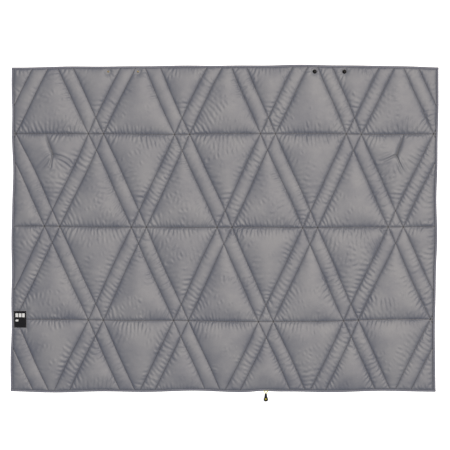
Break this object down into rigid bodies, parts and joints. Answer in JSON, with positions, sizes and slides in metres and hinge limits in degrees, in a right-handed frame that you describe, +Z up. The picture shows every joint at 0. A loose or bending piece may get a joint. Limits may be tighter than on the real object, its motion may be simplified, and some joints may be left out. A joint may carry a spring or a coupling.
{
  "type": "camp blanket",
  "caption": "Rectangular quilted camp blanket with a slanted double-line quilting pattern, bound edge, press snaps, sewn label and a corded pull; folds in half.",
  "frame": {"origin": "on the ground under the middle of the laid-out blanket, hang loop included", "axes": "+X along the width, +Y towards the edge with the snaps, +Z up from the ground"},
  "size_m": [1.8, 1.4226, 0.0224],
  "materials": {
    "shell_fabric": "satin warm-grey ripstop nylon",
    "underside_fabric": "dark grey ripstop nylon",
    "batting": "matt white polyester wadding",
    "quilting_thread": "matt dark grey thread",
    "binding_tape": "woven blue-grey tape",
    "binding_thread": "matt black thread",
    "snap_cap": "polished black",
    "snap_ring": "satin black",
    "snap_stud": "antique bronze",
    "label_fabric": "black woven label",
    "cord": "bright yellow braid",
    "cord_end": "matt black moulded rubber"
  },
  "bodies": {
    "lower_half": {"top_shell_lower": "shell_fabric", "insulation_lower": "batting", "bottom_shell_lower": "underside_fabric", "row_stitching_lower": "quilting_thread", "rising_stitching_lower": "quilting_thread", "falling_stitching_lower": "quilting_thread", "binding_left_lower": "binding_tape", "binding_right_lower": "binding_tape", "binding_stitching_lower": "binding_thread", "binding_bottom": "binding_tape", "label": "label_fabric", "label_stitching": "quilting_thread", "loop_bartack": "cord"},
    "upper_half": {"top_shell_upper": "shell_fabric", "insulation_upper": "batting", "bottom_shell_upper": "underside_fabric", "row_stitching_upper": "quilting_thread", "rising_stitching_upper": "quilting_thread", "falling_stitching_upper": "quilting_thread", "binding_left_upper": "binding_tape", "binding_right_upper": "binding_tape", "binding_stitching_upper": "binding_thread", "binding_top": "binding_tape", "snap_cap_inner": "snap_cap", "snap_socket_inner": "snap_ring", "snap_stud_inner": "snap_stud", "snap_post_inner": "snap_stud", "snap_cap_outer": "snap_cap", "snap_socket_outer": "snap_ring", "snap_stud_outer": "snap_stud", "snap_post_outer": "snap_stud", "tuft_left": "quilting_thread", "tuft_right": "quilting_thread"},
    "hang_loop": {"hang_cord": "cord"},
    "cord_end": {"cord_end": "cord_end", "cord_knot": "cord"}
  },
  "joints": [
    {"name": "half_fold", "type": "hinge", "parent": "lower_half", "child": "upper_half", "pos_m": [0, 0.03032, 0.0224], "axis": [1, 0, 0], "range_deg": [0, 180]},
    {"name": "loop_lift", "type": "hinge", "parent": "lower_half", "child": "hang_loop", "pos_m": [0.168, -0.67118, 0.0025], "axis": [-1, 0, 0], "range_deg": [0, 90]},
    {"name": "cord_end_swing", "type": "hinge", "parent": "hang_loop", "child": "cord_end", "pos_m": [0.168, -0.67778, 0.0045], "axis": [0, 0, 1], "range_deg": [-20, 20]}
  ]
}
